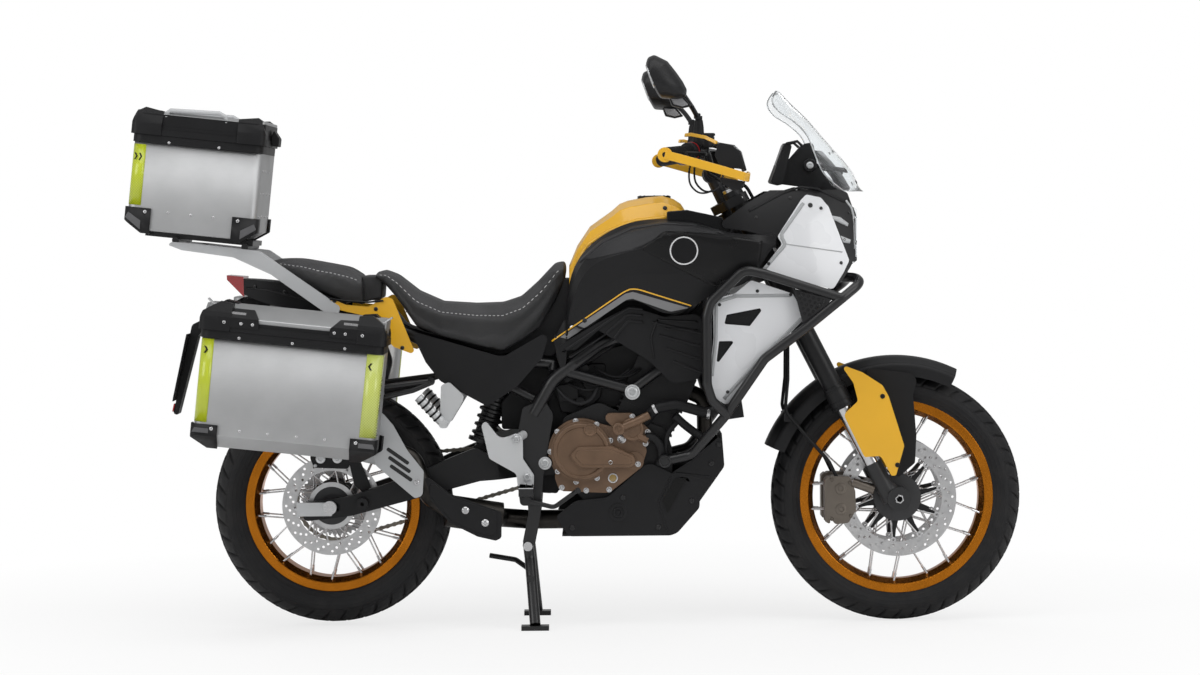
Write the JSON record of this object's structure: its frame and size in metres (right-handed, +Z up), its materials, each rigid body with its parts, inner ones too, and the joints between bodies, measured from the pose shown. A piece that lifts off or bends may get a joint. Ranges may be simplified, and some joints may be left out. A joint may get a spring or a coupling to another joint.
{
  "type": "adventure motorcycle",
  "caption": "Adventure motorcycle on its centre stand with spoked wheels, aluminium panniers and top box, crash bars, hand guards and a windscreen.",
  "frame": {"origin": "on the ground, below the middle of the machine's length and width, as it stands parked", "axes": "+X forward, +Y to the rider's left, +Z up"},
  "size_m": [2.3461, 1.0082, 1.4818],
  "materials": {
    "black_alloy": "satin",
    "black_plastic": "satin",
    "black_steel": "satin",
    "bolt_steel": "bright",
    "box_aluminium": "brushed",
    "bronze_cast": "satin",
    "chain_steel": "oiled",
    "dark_steel": "heat marked",
    "disc_steel": "ground",
    "engine_black": "cast",
    "gold_rim": "anodised",
    "grip_rubber": "matt",
    "lamp_clear": "clear",
    "lamp_red": "gloss",
    "radiator_core": "finned",
    "screen_clear": "clear",
    "seat_cover": "matt",
    "silver_cast": "satin",
    "tyre_rubber": "matt",
    "white_plastic": "gloss",
    "yellow_metal": "satin",
    "yellow_paint": "satin"
  },
  "bodies": {
    "chassis": {"axle_bolts": "bolt_steel", "crash_bars": "black_steel", "dash": "black_plastic", "drive_chain": "chain_steel", "engine": "engine_black", "engine_covers": "bronze_cast", "exhaust_pipes": "dark_steel", "footrests": "silver_cast", "fuel_tank": "yellow_paint", "headlight": "black_plastic", "headlight_lens": "lamp_clear", "left_pannier": "box_aluminium", "left_pannier_corners": "black_plastic", "main_frame": "black_steel", "nose_cowl": "black_plastic", "pannier_rails": "black_steel", "passenger_seat": "seat_cover", "rack_arms": "silver_cast", "radiator": "radiator_core", "rear_caliper": "black_alloy", "rear_shock": "black_alloy", "rear_subframe": "black_steel", "rider_seat": "seat_cover", "right_pannier": "box_aluminium", "right_pannier_corners": "black_plastic", "shrouds": "white_plastic", "side_panels": "black_plastic", "silencer": "silver_cast", "skid_plate": "black_plastic", "swingarm": "black_alloy", "tail_cover": "black_plastic", "tail_light": "lamp_red", "tail_panels": "yellow_paint", "tank_covers": "black_plastic", "top_box": "box_aluminium", "top_box_corners": "black_plastic", "windscreen": "screen_clear"},
    "steering": {"triple_clamps": "black_alloy", "fork_tubes": "black_alloy", "fork_sliders": "black_alloy", "handlebar": "black_alloy", "controls": "black_alloy", "hand_guards": "yellow_metal", "mirrors": "black_plastic", "front_fender": "black_plastic", "fork_guards": "yellow_paint", "front_calipers": "silver_cast", "brake_hoses": "grip_rubber"},
    "front_wheel": {"front_tyre": "tyre_rubber", "front_rim": "gold_rim", "front_hub": "black_alloy", "front_discs": "disc_steel"},
    "rear_wheel": {"rear_tyre": "tyre_rubber", "rear_rim": "gold_rim", "rear_hub": "black_alloy", "rear_disc": "disc_steel"},
    "centre_stand": {"centre_stand": "black_steel"},
    "top_box_lid": {"top_box_lid": "box_aluminium"},
    "right_pannier_lid": {"right_pannier_lid": "box_aluminium"},
    "left_pannier_lid": {"left_pannier_lid": "box_aluminium"}
  },
  "joints": [
    {"name": "steering_head", "type": "hinge", "parent": "chassis", "child": "steering", "pos_m": [0.395, 0, 1.1], "axis": [-0.4524, 0, 0.8918], "range_deg": [-35, 35]},
    {"name": "front_axle", "type": "hinge", "parent": "steering", "child": "front_wheel", "pos_m": [0.843, 0, 0.33], "axis": [0, 1, 0], "continuous": true},
    {"name": "rear_axle", "type": "hinge", "parent": "chassis", "child": "rear_wheel", "pos_m": [-0.645, 0, 0.323], "axis": [0, 1, 0], "continuous": true},
    {"name": "stand_pivot", "type": "hinge", "parent": "chassis", "child": "centre_stand", "pos_m": [-0.13, 0, 0.215], "axis": [0, 1, 0], "range_deg": [0, 85]},
    {"name": "top_box_hinge", "type": "hinge", "parent": "chassis", "child": "top_box_lid", "pos_m": [-0.8053, 0, 1.2664], "axis": [0, 1, 0], "range_deg": [0, 75]},
    {"name": "right_pannier_hinge", "type": "hinge", "parent": "chassis", "child": "right_pannier_lid", "pos_m": [-0.4817, 0, 0.7521], "axis": [0, 1, 0], "range_deg": [0, 75]},
    {"name": "left_pannier_hinge", "type": "hinge", "parent": "chassis", "child": "left_pannier_lid", "pos_m": [-0.4817, 0, 0.7521], "axis": [0, 1, 0], "range_deg": [0, 75]}
  ]
}
